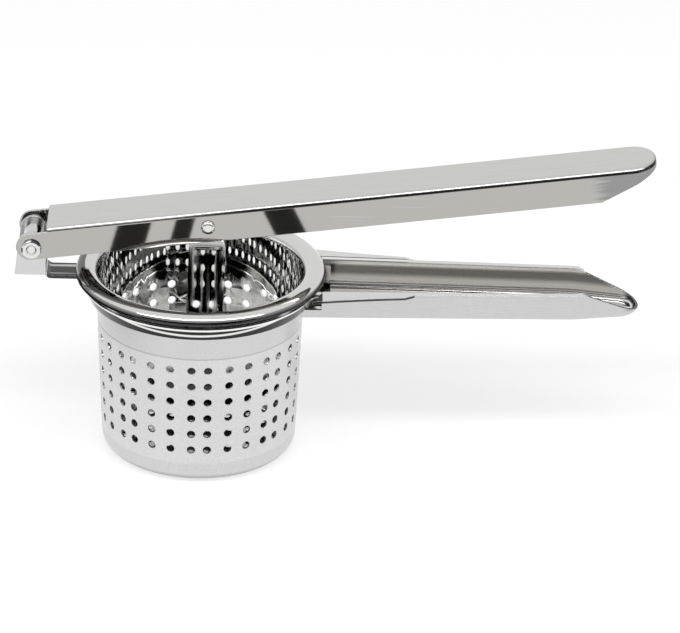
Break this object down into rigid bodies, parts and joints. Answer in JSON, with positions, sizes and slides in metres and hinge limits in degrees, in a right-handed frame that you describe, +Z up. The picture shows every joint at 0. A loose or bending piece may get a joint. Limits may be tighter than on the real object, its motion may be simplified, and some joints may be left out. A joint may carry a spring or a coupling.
{
  "type": "potato ricer",
  "caption": "Hand potato ricer: perforated steel basket in a ring frame with a trough handle, and a hinged lever that drives a round plunger down into the basket.",
  "frame": {"origin": "centre of the basket's flat bottom", "axes": "+X along the handles, away from the hinge; +Z up, along the basket's axis; -Y is the front in the picture"},
  "size_m": [0.259, 0.102, 0.1333],
  "materials": {
    "basket_steel": "satin outside, polished inside",
    "satin_steel": "satin",
    "polished_steel": "polished",
    "rivet_steel": "polished"
  },
  "bodies": {
    "basket": {"basket": "basket_steel"},
    "frame": {"frame_ring": "polished_steel", "lower_handle": "satin_steel", "hinge_bracket": "satin_steel", "hinge_sleeve": "rivet_steel"},
    "lever": {"lever": "satin_steel", "hinge_pin": "rivet_steel", "hinge_washers": "rivet_steel", "plunger_pin": "rivet_steel"},
    "plunger": {"plunger_disc": "polished_steel", "plunger_stem": "polished_steel", "stem_rivets": "rivet_steel", "plunger_spacer": "rivet_steel"}
  },
  "joints": [
    {"name": "basket_turn", "type": "hinge", "parent": "basket", "child": "frame", "pos_m": [0, 0, 0.0762], "axis": [0, 0, 1], "continuous": true},
    {"name": "lever_hinge", "type": "hinge", "parent": "frame", "child": "lever", "pos_m": [-0.0683, 0, 0.0911], "axis": [0, -1, 0], "range_deg": [-9.3, 85]},
    {"name": "plunger_swing", "type": "hinge", "parent": "lever", "child": "plunger", "pos_m": [0.00312, 0, 0.10247], "axis": [0, -1, 0], "range_deg": [-44.3, 4.9]}
  ],
  "couplings": [
    {"joint": "plunger_swing", "follows": "lever_hinge", "ratio": -0.52}
  ]
}
